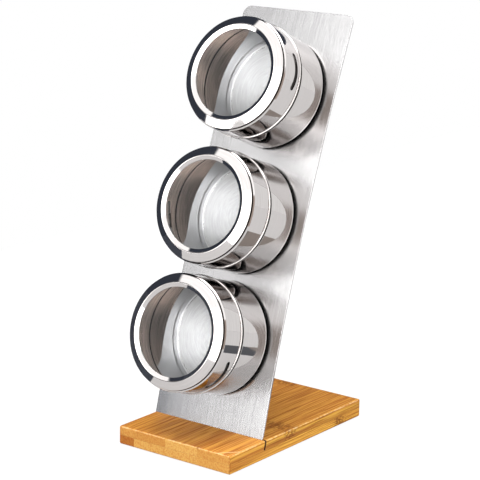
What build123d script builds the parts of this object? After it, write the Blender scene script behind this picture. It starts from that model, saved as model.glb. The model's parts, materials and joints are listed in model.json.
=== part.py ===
"""Free-standing magnetic spice stand: a bamboo base, a curved steel plate and three lidded tins.

All sizes are in millimetres. The origin is the centre of the base's underside, with +X to the right
seen from the front, the front towards -Y and +Z up. Heights in a tin's section are measured from the
plate's front face, along the tin's own axis.
"""
import os
from math import cos, radians, sin

from build123d import *

# Base: two plies of bamboo strips, glued side by side, with a saw cut through the upper ply
base_length = 126.0
lower_ply = 5.4
upper_ply = 5.2
left_strip_width = 10.8
strip_width = 22.4
full_strips = 3
base_edge_round = 1.0

# Plate: a gently bowed sheet that stands in the saw cut and leans back
plate_width = 75.6
plate_thickness = 1.0
plate_bow_radius = 1490.0
plate_lean_degrees = 14.6
plate_corner_radius = 5.0
plate_edge_round = 0.2
plate_setback = 32.0  # from the base's front edge to the plate's front face, at the base's top
plate_side_shift = -1.2
slot_clearance = 0.15
plate_foot_clearance = 0.1

# Tins along the plate: the gaps below, between and above the lid rims, and each tin's sideways shift
gap_below_lower = 16.1
gap_below_middle = 1.1
gap_below_upper = 4.0
gap_above_upper = 15.1
lower_side_shift = -1.7
middle_side_shift = -0.8
upper_side_shift = -1.1

# Tin body: a drawn cup with a necked-in mouth and a raised floor over its magnet
tin_radius = 32.5
sheet = 0.5
tin_corner_radius = 2.0
foot_width = 2.5
body_length = 22.8
neck_step_length = 0.8
neck_length = 14.2
floor_edge_round = 0.4

# Magnet: a disc glued into the recess under the floor, standing proud of the tin's foot
magnet_thickness = 2.5
magnet_proud = 1.3
magnet_clearance = 0.2
magnet_edge_round = 0.3
plate_gap = 0.1

# Lid: a turned-over ring round a clear window, a stepped shoulder and a skirt with a rolled rim
lid_clearance = 0.1
gasket_clearance = 0.2
rim_gap = 1.7
rim_bead_radius = 0.81
gasket_thickness = 2.0
gasket_setback = 3.85
window_thickness = 1.2
window_overlap = 4.85
lip_thickness = 0.7
inner_facet_width = 2.35
inner_facet_rise = 1.1
outer_facet_width = 5.05
outer_facet_drop = 2.15
bezel_inset = 0.45
groove_depth = 0.75
groove_drop = 0.5
shoulder_inset = 0.7
shoulder_drop = 0.35
ridge_round = 0.8
bezel_edge_round = 0.3
shoulder_round = 4.0
small_round = 0.1

# Pour slot in the lid's skirt and port in the tin's neck: a crescent with its ends towards the window
pour_chord = 18.0
pour_sag = 1.5
pour_width = 2.8
pour_above_rim = 2.7
lower_slot_degrees = -36.0
middle_slot_degrees = -100.0
upper_slot_degrees = 12.4
lower_port_degrees = 100.0
middle_port_degrees = -159.0
upper_port_degrees = -110.0

# Base sizes that follow
base_width = left_strip_width + full_strips * strip_width
base_thickness = lower_ply + upper_ply

# Plate sizes that follow: the front face is an arc about a line behind and below the base
base_lean = radians(plate_lean_degrees)
slot_y = plate_setback - base_length / 2
bow_centre_y = slot_y + plate_bow_radius * cos(base_lean)
bow_centre_z = base_thickness - plate_bow_radius * sin(base_lean)
plate_bury = (upper_ply - plate_foot_clearance - plate_thickness * sin(base_lean)) / cos(base_lean)

# Tin and lid radii that follow
body_inner_radius = tin_radius - sheet
neck_outer_radius = body_inner_radius - lid_clearance
neck_inner_radius = neck_outer_radius - sheet
pocket_radius = tin_radius - tin_corner_radius - foot_width
magnet_radius = pocket_radius - magnet_clearance
rim_bead_centre = tin_radius - sheet / 2 + rim_bead_radius
lid_outer_radius = rim_bead_centre + rim_bead_radius
bezel_radius = tin_radius - bezel_inset
ridge_radius = bezel_radius - outer_facet_width
opening_radius = ridge_radius - inner_facet_width
window_radius = opening_radius + window_overlap
gasket_inner_radius = opening_radius + gasket_setback
groove_radius = bezel_radius - groove_depth
shoulder_radius = tin_radius - shoulder_inset
register_radius = groove_radius - sheet

# Tin and lid heights that follow, from the plate's front face outwards
foot_height = plate_gap + magnet_proud
pocket_height = plate_gap + magnet_thickness
floor_height = pocket_height + sheet
body_top = foot_height + body_length
neck_bottom = body_top + neck_step_length
neck_top = neck_bottom + neck_length
rim_height = neck_bottom + rim_gap + rim_bead_radius
gasket_bottom = neck_top + lid_clearance
gasket_top = gasket_bottom + gasket_thickness
window_bottom = gasket_top + gasket_clearance
window_top = window_bottom + window_thickness
lip_height = window_top + lip_thickness
ridge_height = lip_height + inner_facet_rise
bezel_height = ridge_height - outer_facet_drop
groove_height = bezel_height - groove_drop
shoulder_height = groove_height - shoulder_drop
pour_height = rim_height + pour_above_rim

# Tin centres, as lengths along the plate's front face above the base
lower_along = gap_below_lower + lid_outer_radius
middle_along = lower_along + 2 * lid_outer_radius + gap_below_middle
upper_along = middle_along + 2 * lid_outer_radius + gap_below_upper
plate_length = upper_along + lid_outer_radius + gap_above_upper

# Name, length along the plate, sideways shift, direction of the lid's slot and of the neck's port
tins = (
    ("lower", lower_along, lower_side_shift, lower_slot_degrees, lower_port_degrees),
    ("middle", middle_along, middle_side_shift, middle_slot_degrees, middle_port_degrees),
    ("upper", upper_along, upper_side_shift, upper_slot_degrees, upper_port_degrees),
)


def lean_at(along):
    """The plate's lean from upright, in radians, at a length along its front face above the base."""
    return base_lean + along / plate_bow_radius


def plate_point(along, depth=0.0):
    """Y and Z on the plate, at a length along its front face and a depth behind that face."""
    radius = plate_bow_radius - depth
    lean = lean_at(along)
    return bow_centre_y - radius * cos(lean), bow_centre_z + radius * sin(lean)


def tin_section(along, side):
    """A plane through a tin's axis: local X is the radius and local Y the height from the plate."""
    y, z = plate_point(along)
    lean = lean_at(along)
    return Plane(origin=(plate_side_shift + side, y, z), x_dir=(1, 0, 0), z_dir=(0, -sin(lean), -cos(lean)))


def axis_of(section):
    """The axis of the tin that has this section."""
    return Axis(section.origin, section.y_dir)


def pour_plane(section, degrees_round):
    """The plane of a pour opening: it stands on the tin's axis and looks out along one radius."""
    turn = radians(degrees_round)
    outwards = section.x_dir * cos(turn) - section.z_dir * sin(turn)
    centre = section.origin + section.y_dir * pour_height
    return Plane(origin=centre, x_dir=section.y_dir.cross(outwards), z_dir=outwards)


def outline(*corners):
    """A closed outline through corners given as radius, height and rounding."""
    points = [(radius, height) for radius, height, rounding in corners]
    FilletPolyline(*points, radius=[rounding for radius, height, rounding in corners], close=True)


def save(piece, name):
    """Label a finished piece and write it."""
    piece.part.label = name
    export_step(piece.part, f"parts/{name}.step")


os.makedirs("parts", exist_ok=True)
pour_path = ThreePointArc((-pour_chord / 2, pour_sag), (0, 0), (pour_chord / 2, pour_sag))

# Base strips
with BuildPart() as base_blank:
    Box(base_width, base_length, base_thickness, align=(Align.CENTER, Align.CENTER, Align.MIN))
    fillet(base_blank.edges(), base_edge_round)

plate_face_at_base = Plane(
    origin=(0, slot_y, base_thickness), x_dir=(1, 0, 0), z_dir=(0, -cos(base_lean), sin(base_lean))
)
slot_front = plate_face_at_base.offset(slot_clearance)
slot_rear = plate_face_at_base.offset(-plate_thickness - slot_clearance)
glue_line = Plane.XY.offset(lower_ply)

strip_left = -base_width / 2
for number, width in enumerate([left_strip_width] + [strip_width] * full_strips, start=1):
    with BuildPart() as strip:
        add(base_blank.part)
        with Locations((strip_left + width / 2, 0, base_thickness / 2)):
            Box(width, base_length, base_thickness, mode=Mode.INTERSECT)

    with BuildPart() as lower_strip:
        add(strip.part)
        split(bisect_by=glue_line, keep=Keep.BOTTOM)
    save(lower_strip, f"base_lower_strip_{number}")

    with BuildPart() as front_strip:
        add(strip.part)
        split(bisect_by=glue_line, keep=Keep.TOP)
        split(bisect_by=slot_front, keep=Keep.TOP)
    save(front_strip, f"base_front_strip_{number}")

    with BuildPart() as rear_strip:
        add(strip.part)
        split(bisect_by=glue_line, keep=Keep.TOP)
        split(bisect_by=slot_rear, keep=Keep.BOTTOM)
    save(rear_strip, f"base_rear_strip_{number}")
    strip_left += width

# Plate
plate_middle = (plate_length - plate_bury) / 2
with BuildPart() as back_plate:
    with BuildSketch(Plane.YZ.offset(plate_side_shift)):
        with BuildLine():
            front = ThreePointArc(
                plate_point(-plate_bury), plate_point(plate_middle), plate_point(plate_length)
            )
            back = ThreePointArc(
                plate_point(-plate_bury, plate_thickness),
                plate_point(plate_middle, plate_thickness),
                plate_point(plate_length, plate_thickness),
            )
            Line(front @ 0, back @ 0)
            Line(front @ 1, back @ 1)
        make_face()
    extrude(amount=plate_width / 2, both=True)
    top_face = back_plate.faces().sort_by(Axis.Z)[-1]
    fillet(top_face.edges().filter_by(Axis.X, reverse=True), plate_corner_radius)
    front_face = back_plate.faces().sort_by(SortBy.AREA)[-1]
    fillet(front_face.edges(), plate_edge_round)
save(back_plate, "back_plate")

# Tins
for place, along, side, slot_degrees, port_degrees in tins:
    section = tin_section(along, side)
    axis = axis_of(section)

    with BuildPart() as tin_body:
        with BuildSketch(section):
            with BuildLine():
                outline(
                    (0, pocket_height, 0),
                    (pocket_radius, pocket_height, floor_edge_round),
                    (pocket_radius, foot_height, floor_edge_round),
                    (tin_radius, foot_height, tin_corner_radius),
                    (tin_radius, body_top, floor_edge_round),
                    (neck_outer_radius, neck_bottom, floor_edge_round),
                    (neck_outer_radius, neck_top, small_round),
                    (neck_inner_radius, neck_top, small_round),
                    (neck_inner_radius, neck_bottom, floor_edge_round),
                    (body_inner_radius, body_top, floor_edge_round),
                    (body_inner_radius, foot_height + sheet, tin_corner_radius - sheet),
                    (pocket_radius + sheet, foot_height + sheet, floor_edge_round),
                    (pocket_radius + sheet, floor_height, floor_edge_round),
                    (0, floor_height, 0),
                )
            make_face()
        revolve(axis=axis)
        with BuildSketch(pour_plane(section, port_degrees)):
            SlotArc(pour_path, pour_width)
        extrude(amount=tin_radius, mode=Mode.SUBTRACT)
    save(tin_body, f"{place}_tin_body")

    with BuildPart() as magnet:
        with BuildSketch(section):
            with BuildLine():
                outline(
                    (0, plate_gap, 0),
                    (magnet_radius, plate_gap, magnet_edge_round),
                    (magnet_radius, pocket_height, magnet_edge_round),
                    (0, pocket_height, 0),
                )
            make_face()
        revolve(axis=axis)
    save(magnet, f"{place}_magnet")

    with BuildPart() as lid_shell:
        with BuildSketch(section):
            with BuildLine():
                outline(
                    (opening_radius, lip_height, small_round),
                    (ridge_radius, ridge_height, ridge_round),
                    (bezel_radius, bezel_height, bezel_edge_round),
                    (groove_radius, groove_height, small_round),
                    (shoulder_radius, shoulder_height, bezel_edge_round),
                    (tin_radius, gasket_bottom, shoulder_round),
                    (tin_radius, rim_height, 0),
                    (body_inner_radius, rim_height, 0),
                    (body_inner_radius, gasket_bottom, 0),
                    (register_radius, window_bottom, 0),
                    (window_radius + lid_clearance, window_bottom, 0),
                    (window_radius + lid_clearance, window_top, 0),
                    (opening_radius, window_top, small_round),
                )
            make_face()
            with Locations((rim_bead_centre, rim_height)):
                Circle(rim_bead_radius)
        revolve(axis=axis)
        with BuildSketch(pour_plane(section, slot_degrees)):
            SlotArc(pour_path, pour_width)
        extrude(amount=lid_outer_radius, mode=Mode.SUBTRACT)
    save(lid_shell, f"{place}_lid_shell")

    with BuildPart() as lid_window:
        with BuildSketch(section):
            with BuildLine():
                outline(
                    (0, window_bottom, 0),
                    (window_radius, window_bottom, small_round),
                    (window_radius, window_top, small_round),
                    (0, window_top, 0),
                )
            make_face()
        revolve(axis=axis)
    save(lid_window, f"{place}_lid_window")

    with BuildPart() as lid_gasket:
        with BuildSketch(section):
            with BuildLine():
                outline(
                    (gasket_inner_radius, gasket_bottom, small_round),
                    (body_inner_radius - gasket_clearance, gasket_bottom, small_round),
                    (register_radius - gasket_clearance, gasket_top, small_round),
                    (gasket_inner_radius, gasket_top, small_round),
                )
            make_face()
        revolve(axis=axis)
    save(lid_gasket, f"{place}_lid_gasket")
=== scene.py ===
"""Looks of a free-standing magnetic spice stand: a bamboo base, a brushed steel plate and three lidded tins.

Lengths are in metres, in the frame of the packed model: the origin is the centre of the base's underside,
with the front towards -Y and +Z up. A tin's pieces are turned about their own Z axis, which points from
the plate's front face out through the window, and heights along it start at that face.
"""
import json
from math import asin, atan2, ceil, cos, hypot, pi, radians, sin, tan
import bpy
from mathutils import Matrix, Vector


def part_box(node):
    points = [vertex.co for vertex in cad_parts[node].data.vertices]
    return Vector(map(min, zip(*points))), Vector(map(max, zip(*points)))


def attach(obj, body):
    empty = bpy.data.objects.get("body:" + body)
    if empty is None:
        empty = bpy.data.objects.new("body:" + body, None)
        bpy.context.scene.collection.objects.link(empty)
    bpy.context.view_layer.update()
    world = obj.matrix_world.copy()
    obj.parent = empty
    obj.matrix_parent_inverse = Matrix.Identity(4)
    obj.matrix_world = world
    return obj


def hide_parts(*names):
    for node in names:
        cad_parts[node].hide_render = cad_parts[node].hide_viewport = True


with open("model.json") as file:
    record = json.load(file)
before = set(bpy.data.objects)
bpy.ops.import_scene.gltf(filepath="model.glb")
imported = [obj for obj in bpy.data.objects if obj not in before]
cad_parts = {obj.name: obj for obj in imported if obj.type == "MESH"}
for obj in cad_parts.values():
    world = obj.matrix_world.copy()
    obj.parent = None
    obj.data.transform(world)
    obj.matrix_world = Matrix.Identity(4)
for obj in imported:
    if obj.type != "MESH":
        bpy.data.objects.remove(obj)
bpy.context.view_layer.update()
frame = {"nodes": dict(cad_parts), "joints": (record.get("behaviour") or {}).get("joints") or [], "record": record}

from types import SimpleNamespace

import bmesh
import bpy
from bpy.props import FloatProperty, FloatVectorProperty, IntProperty, PointerProperty
from mathutils import Matrix, Vector

bl_info = {
    "name": "Magnetic spice stand",
    "version": (1, 0, 0),
    "blender": (4, 5, 0),
    "location": "3D View > Sidebar > Spice stand",
    "description": "Builds the finished pieces of a magnetic spice stand round its packed model",
    "category": "Add Mesh",
}

mm = 0.001
cm = 0.01
tin_places = ("lower", "middle", "upper")
twist_joints = {joint["child"]: joint for joint in frame["joints"] if joint["type"] == "hinge"}


def length(name, description, default):
    """A length that a user may change."""
    return FloatProperty(
        name=name, description=description, default=default, min=0.0, unit="LENGTH", precision=5
    )


def angle(name, description, degrees):
    """An angle that a user may change."""
    return FloatProperty(name=name, description=description, default=radians(degrees), subtype="ANGLE")


def share(name, description, default):
    """A plain amount that a user may change."""
    return FloatProperty(name=name, description=description, default=default, min=0.0)


def colour(name, description, default):
    """A colour that a user may change."""
    return FloatVectorProperty(
        name=name, description=description, default=default, size=3, subtype="COLOR", min=0.0, max=1.0
    )


class BaseSettings(bpy.types.PropertyGroup):
    """Sizes and colours of the bamboo base."""

    edge_round: length("Edge round", "Rounding of the base's outer edges", 1.0 * mm)
    joint_bevel: length("Joint bevel", "Bevel of each strip along its glue lines", 0.1 * mm)
    light_bamboo: colour("Light bamboo", "Pale wood between the fibres", (0.592, 0.276, 0.048))
    dark_bamboo: colour("Dark bamboo", "Fibre bundles", (0.24, 0.076, 0.0128))
    end_bamboo: colour("End bamboo", "Wood between the fibres on the strips' ends", (0.432, 0.24, 0.06))
    # Side tint lightens the strips' upright sides: painted light, partly also their different grain.
    side_light_tint: FloatVectorProperty(
        name="Side tint", description="Tint of the strips' upright sides",
        default=(1.2, 1.38, 1.2), size=3, min=0.0,
    )
    worn_bamboo: colour("Worn bamboo", "Pale wood along the rubbed edges", (0.68, 0.496, 0.256))
    sawn_bamboo: colour("Sawn bamboo", "Scorched wood inside the saw cut", (0.05, 0.02, 0.008))


class PlateSettings(bpy.types.PropertyGroup):
    """Sizes and colour of the steel plate."""

    bow_radius: length("Bow radius", "Radius of the plate's bow", 1490.0 * mm)
    lean: angle("Lean", "Lean from upright where the plate enters the base", 14.6)
    thickness: length("Thickness", "Thickness of the sheet", 1.0 * mm)
    setback: length("Setback", "From the base's front edge to the plate's face, at the base's top", 32.0 * mm)
    corner_radius: length("Corner radius", "Radius of the two upper corners", 5.0 * mm)
    edge_round: length("Edge round", "Rounding of the front edges", 0.2 * mm)
    steel: colour("Steel", "Brushed steel", (0.51, 0.504, 0.506))


class TinSettings(bpy.types.PropertyGroup):
    """Sizes and colours of the tins and their lids."""

    radius: length("Radius", "Outer radius of the body and of the lid's skirt", 32.5 * mm)
    sheet: length("Sheet", "Thickness of the steel sheet", 0.5 * mm)
    corner_radius: length("Corner radius", "Rounding of the body's foot", 2.0 * mm)
    inner_corner: length("Inner corner", "Rounding between the tin's wall and its foot, inside", 0.6 * mm)
    foot_width: length("Foot width", "Flat ring of the foot", 2.5 * mm)
    body_length: length("Body length", "From the foot to the neck", 22.8 * mm)
    neck_step: length("Neck step", "Length over which the body necks in", 0.8 * mm)
    neck_length: length("Neck length", "Straight length of the neck", 14.2 * mm)
    magnet_thickness: length("Magnet thickness", "Thickness of the magnet", 2.5 * mm)
    magnet_proud: length("Magnet proud", "How far the magnet stands out of the foot", 1.3 * mm)
    plate_gap: length("Plate gap", "Gap between magnet and plate", 0.1 * mm)
    lid_clearance: length("Lid clearance", "Gap between lid and neck", 0.1 * mm)
    gasket_thickness: length("Gasket thickness", "Thickness of the gasket", 2.0 * mm)
    gasket_clearance: length("Gasket clearance", "Gap between gasket and lid", 0.2 * mm)
    rim_gap: length("Rim gap", "Gap between the body's neck and the lid's rolled rim", 1.28 * mm)
    rim_bead_radius: length("Rim bead", "Radius of the rolled rim", 0.32 * mm)
    rim_proud: length("Rim proud", "How far the rolled rim stands out of the skirt", 0.6 * mm)
    rim_fillet: length("Rim fillet", "Fillet between skirt and rolled rim", 0.15 * mm)
    window_thickness: length("Window thickness", "Thickness of the window", 1.2 * mm)
    window_overlap: length("Window overlap", "How far the window runs in behind the ring", 4.85 * mm)
    lip_thickness: length("Lip thickness", "Thickness of the ring's inner lip", 0.7 * mm)
    inner_facet_width: length("Inner facet width", "Width of the ring's inner slope", 2.35 * mm)
    inner_facet_rise: length("Inner facet rise", "Height of the ring's inner slope", 1.1 * mm)
    outer_facet_width: length("Outer facet width", "Width of the ring's outer slope", 5.05 * mm)
    outer_facet_drop: length("Outer facet drop", "Height of the ring's outer slope", 2.15 * mm)
    bezel_inset: length("Bezel inset", "From the skirt's side to the ring's edge", 0.45 * mm)
    register_inset: length("Register inset", "From the ring's edge to the shell's inside under it", 1.25 * mm)
    groove_depth: length("Groove depth", "Depth of the groove under the ring", 0.95 * mm)
    groove_drop: length("Groove drop", "From the ring's edge to the groove", 0.72 * mm)
    shoulder_inset: length("Shoulder inset", "From the skirt's side to the shoulder's edge", 0.65 * mm)
    shoulder_drop: length("Shoulder drop", "From the groove to the shoulder's edge", 0.5 * mm)
    shoulder_fall: length("Shoulder fall", "From the shoulder's edge to the skirt", 0.65 * mm)
    shoulder_round: length("Shoulder round", "Rounding of the shoulder", 0.3 * mm)
    ridge_round: length("Ridge round", "Rounding of the ring's ridge", 0.8 * mm)
    edge_round: length("Edge round", "Rounding of folded edges", 0.38 * mm)
    fold_round: length("Fold round", "Rounding of the body's drawn edges", 0.4 * mm)
    bright_width: length("Bright width", "Bright part of the ring round the raised floor", 0.9 * mm)
    floor_round: length("Floor round", "Rounding of the raised floor's edge", 0.5 * mm)
    floor_lean: length("Floor lean", "How far the raised floor's side leans in", 1.0 * mm)
    small_round: length("Small round", "Rounding of cut edges", 0.1 * mm)
    # Painted reflection: the inner wall's lower part stands in for the wall's reflection of the floor ring, and
    # its upper edge follows that reflection's curve.
    reflection_height: length("Smooth height", "Least height of the inner wall's smooth lower part", 9.2 * mm)
    reflection_turn: angle("Smooth turn", "Where round the tin the smooth part is lowest, from the right", 168.0)
    # Step shade is the strip under the inner neck step that gets painted shade.
    step_shade: length("Step shade", "Dull strip under the inside of the neck step", 1.2 * mm)
    pour_chord: length("Pour chord", "Length of the pour slot's centre line", 18.0 * mm)
    pour_sag: length("Pour sag", "Bow of the pour slot", 1.5 * mm)
    pour_width: length("Pour width", "Width of the pour slot", 2.8 * mm)
    pour_above_rim: length("Pour above rim", "From the rolled rim to the pour slot", 3.6 * mm)
    turns: IntProperty(name="Turns", description="Facets round a turned piece", default=192, min=24)
    steel: colour("Steel", "Polished steel", (0.51, 0.487, 0.478))
    wall_steel: colour("Wall steel", "Brushed steel of the tin's inner wall", (0.72, 0.605, 0.54))
    floor_steel: colour("Floor steel", "Spun steel of the tin's floor", (0.40, 0.40, 0.405))
    ring_steel: colour("Ring steel", "Pressed steel round the tin's floor", (0.44, 0.44, 0.445))
    # Painted highlight: lighter steel on the raised floor's rounded edge.
    floor_edge_highlight_steel: colour("Edge steel", "Bright edge of the tin's raised floor", (0.68, 0.68, 0.68))
    # Lower steel is painted reflection on the inner wall's lower part, and painted shade in the inner corner and
    # on the outer foot ring.
    lower_reflection_and_shade_steel: colour("Lower steel", "Smooth steel low down in the tin", (0.24, 0.24, 0.246))
    # Painted shade: near-black steel on the neck under the lid, the foot's lower rounding, the strip under the
    # inner neck step and the lid's groove.
    painted_shade_steel: colour("Neck steel", "Darkened steel of neck, foot and lid groove", (0.016, 0.014, 0.0125))
    gasket: colour("Gasket", "Silicone of the gasket", (0.75, 0.75, 0.72))
    magnet: colour("Magnet", "Ferrite of the magnet", (0.035, 0.035, 0.038))


class StageSettings(bpy.types.PropertyGroup):
    """Camera, floor and light."""

    azimuth: angle("Azimuth", "Camera's turn about the stand", 36.855)
    elevation: angle("Elevation", "Camera's height above the horizon", 13.614)
    roll: angle("Roll", "Camera's turn about its own axis", 1.003)
    distance: length("Distance", "From the camera to its aim", 942.28 * mm)
    aim: FloatVectorProperty(
        name="Aim", description="Point at the middle of the image",
        default=(43.09 * mm, -63.0 * mm, 130.33 * mm), size=3, subtype="TRANSLATION",
    )
    lens: FloatProperty(name="Lens", description="Focal length in millimetres", default=136.70)
    floor_reach: length("Floor reach", "How far the floor goes to the front, back and right", 1.5)
    floor_left: length("Floor left", "How far the floor goes to the left", 0.4)
    floor_veil: share("Floor veil", "How far the floor is seen as plain white", 0.75)
    floor_grey: share("Floor grey", "How much light the floor throws back", 0.496)
    room_light: share("Room light", "Brightness of the white room", 1.25)
    upper_light: share("Upper light", "Brightness of the room over the front light", 2.0)
    front_light: share("Front light", "Brightness of the soft front light", 6.25)
    top_light: share("Top light", "Brightness of the soft top light", 6.9)
    top_from: angle("Top from", "Elevation at which the top light starts", 67.0)
    front_right: angle("Front right", "Right end of the soft front light, from straight in front", 24.0)
    fade_middle: angle("Fade middle", "Where the front light fades on the left, level with the stand", 27.4)
    fade_width: angle("Fade width", "Half of the width over which it fades", 6.0)
    fade_slant: share("Fade slant", "How far the fade goes to the left with height", 0.25)
    fade_bottom: angle("Fade bottom", "Elevation at which the faded end starts", -4.0)
    front_top: angle("Front top", "Elevation at which the front light stops", 38.0)
    faded_light: share("Faded light", "Brightness of the faded left end of the front light", 0.34)
    dark_from: angle("Dark from", "Where the unlit left side starts, level with the stand", 54.0)
    dark_slant: share("Dark slant", "How far the start of the unlit side goes back with height", 0.17)
    dark_top: angle("Dark top", "Elevation at which the unlit left side ends", 64.0)
    dark_side: colour("Dark side", "Colour of the unlit left side", (0.06, 0.07, 0.095))
    camera_right: angle("Camera side right", "Right end of the dim side behind the camera", 64.0)
    camera_side: colour("Camera side", "Colour of the dim side behind the camera", (0.65, 0.54, 0.475))
    flag_left: length("Flag left", "From the middle of the base to the low black flag", 90.0 * mm)
    flag_front: length("Flag front", "From the base's middle to the flag's front edge at its top", 105.0 * mm)
    flag_slant: length("Flag slant", "How much further the flag's front edge goes at the floor", 40.0 * mm)
    flag_rear: length("Flag rear", "From the middle of the base to the flag's rear edge", 300.0 * mm)
    flag_height: length("Flag height", "Height of the flag's front half", 105.0 * mm)
    flag_tall: length("Flag tall", "Height of the flag's rear half", 260.0 * mm)
    # The two cards paint the stand's shadow on the floor behind its right side; they show only in the steel.
    card_far: length("Card far", "From the base's middle to the cards' far edge", 190.0 * mm)
    card_right: length("Card right", "How far the dark card goes to the right", 60.0 * mm)
    card_split: length("Card split", "Where the two cards meet, to the right", 19.0 * mm)
    card_left: length("Card left", "How far the brown card goes to the left", 25.0 * mm)
    dark_near: length("Dark card near", "From the middle of the base to the dark card", 105.0 * mm)
    brown_near: length("Brown card near", "From the middle of the base to the brown card", 45.0 * mm)
    deep_shadow_card: colour("Dark card", "Colour of the dark card on the floor", (0.048, 0.052, 0.06))
    pale_shadow_card: colour("Brown card", "Colour of the brown card on the floor", (0.184, 0.16, 0.144))


# How far each lid's pour slot, and each neck's pour port, is turned from the tin's right side.
lid_turns = {"lower": radians(-36.0), "middle": radians(-100.0), "upper": radians(12.4)}
port_turns = {"lower": radians(100.0), "middle": radians(-159.0), "upper": radians(-110.0)}


class Graph:
    """A short way to write a shader node tree."""

    def __init__(self, tree):
        self.tree = tree

    def feed(self, socket, value):
        """Link an output to a socket, or set the socket's own value."""
        if isinstance(value, bpy.types.NodeSocket):
            self.tree.links.new(value, socket)
        else:
            socket.default_value = value

    def node(self, kind, feeds=None, **settings):
        """A node with its settings made and its named inputs fed."""
        node = self.tree.nodes.new(kind)
        for name, value in settings.items():
            setattr(node, name, value)
        for name, value in (feeds or {}).items():
            self.feed(node.inputs[name], value)
        return node

    def math(self, operation, *values):
        """The result of a sum on numbers."""
        node = self.node("ShaderNodeMath", operation=operation)
        for socket, value in zip(node.inputs, values):
            self.feed(socket, value)
        return node.outputs[0]

    def times(self, value, amount):
        """A number times another."""
        return self.math("MULTIPLY", value, amount)

    def vector(self, operation, *values):
        """The vector result of a sum on vectors."""
        node = self.node("ShaderNodeVectorMath", operation=operation)
        for socket, value in zip(node.inputs, values):
            self.feed(socket, value)
        return node.outputs["Vector"]

    def scale(self, vector, amount):
        """A vector times a number."""
        node = self.node("ShaderNodeVectorMath", {"Vector": vector, "Scale": amount}, operation="SCALE")
        return node.outputs["Vector"]

    def split(self, vector):
        """The three parts of a vector."""
        return self.node("ShaderNodeSeparateXYZ", {"Vector": vector}).outputs

    def join(self, x, y, z):
        """A vector from three numbers."""
        return self.node("ShaderNodeCombineXYZ", {"X": x, "Y": y, "Z": z}).outputs[0]

    def ramp(self, value, low, high, to_low=0.0, to_high=1.0, smooth=True):
        """Carry a value over from one range to another, and stop at its ends."""
        node = self.node(
            "ShaderNodeMapRange",
            {"Value": value, "From Min": low, "From Max": high, "To Min": to_low, "To Max": to_high},
            interpolation_type="SMOOTHSTEP" if smooth else "LINEAR",
        )
        return node.outputs[0]

    def mix(self, factor, first, second, blend="MIX"):
        """A colour between two colours."""
        node = self.node("ShaderNodeMix", data_type="RGBA", blend_type=blend, clamp_factor=True)
        # The node's sockets for colours come after those for numbers and vectors.
        for index, value in ((0, factor), (6, first), (7, second)):
            self.feed(node.inputs[index], value)
        return node.outputs[2]

    def noise(self, vector, scale, detail=2.0, roughness=0.5):
        """Smooth noise from 0 to 1."""
        feeds = {"Vector": vector, "Scale": scale, "Detail": detail, "Roughness": roughness}
        return self.node("ShaderNodeTexNoise", feeds).outputs[0]

    def place(self):
        """The surface point in its object's own axes, in millimetres."""
        coordinates = self.node("ShaderNodeTexCoord").outputs["Object"]
        return self.scale(coordinates, 1.0 / mm)

    def group(self, tree, **feeds):
        """A node group, with its inputs named in lower case and with underscores."""
        node = self.node("ShaderNodeGroup", node_tree=tree)
        for name, value in feeds.items():
            self.feed(node.inputs[name.replace("_", " ").capitalize()], value)
        return node.outputs


def new_group(name, inputs, outputs):
    """An empty node group: its tree, a graph to write in, what it is given and what it gives."""
    tree = bpy.data.node_groups.new(name, "ShaderNodeTree")
    for label, default in inputs.items():
        socket = tree.interface.new_socket(label, in_out="INPUT", socket_type="NodeSocketFloat")
        socket.default_value = default
    for label, kind in outputs.items():
        tree.interface.new_socket(label, in_out="OUTPUT", socket_type=kind)
    graph = Graph(tree)
    given = graph.node("NodeGroupInput").outputs
    gives = graph.node("NodeGroupOutput").inputs
    return tree, graph, given, gives


def shared_group(name, build):
    """A node group that is built once."""
    return bpy.data.node_groups.get(name) or build(name)


def tilted_normal(graph, across, amount):
    """The surface normal, tilted along one direction by an amount."""
    normal = graph.node("ShaderNodeNewGeometry").outputs["Normal"]
    tilted = graph.vector("ADD", normal, graph.scale(across, amount))
    return graph.vector("NORMALIZE", tilted)


def turned_brushing(name):
    """Fine lines that run round a turned piece's own axis."""
    inputs = {"Lines": 5.0, "Depth": 0.05, "Dish": 0.0}
    outputs = {"Normal": "NodeSocketVector", "Streaks": "NodeSocketFloat"}
    tree, graph, given, gives = new_group(name, inputs, outputs)
    x, y, z = graph.split(graph.node("ShaderNodeAttribute", attribute_name="turned_place").outputs["Vector"])
    radius = graph.math("SQRT", graph.math("ADD", graph.times(x, x), graph.times(y, y)))
    least_radius, changes_round = 0.01, 2.5
    radius = graph.math("MAXIMUM", radius, least_radius)
    round_x = graph.times(graph.math("DIVIDE", x, radius), changes_round)
    round_y = graph.times(graph.math("DIVIDE", y, radius), changes_round)
    along_section = graph.times(graph.math("ADD", radius, z), given["Lines"])
    streaks = graph.noise(graph.join(round_x, round_y, along_section), 1.0, detail=3.0, roughness=0.6)
    run = graph.node("ShaderNodeAttribute", attribute_name="turned_run").outputs["Vector"]
    run = graph.node(
        "ShaderNodeVectorTransform", {"Vector": run},
        vector_type="VECTOR", convert_from="OBJECT", convert_to="WORLD",
    ).outputs[0]
    run = graph.vector("NORMALIZE", run)
    normal = graph.node("ShaderNodeNewGeometry").outputs["Normal"]
    across = graph.vector("CROSS_PRODUCT", normal, run)
    amount = graph.times(graph.math("SUBTRACT", streaks, 0.5), given["Depth"])
    amount = graph.math("ADD", amount, graph.times(radius, given["Dish"]))
    graph.feed(gives["Normal"], tilted_normal(graph, across, amount))
    graph.feed(gives["Streaks"], streaks)
    return tree


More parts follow.
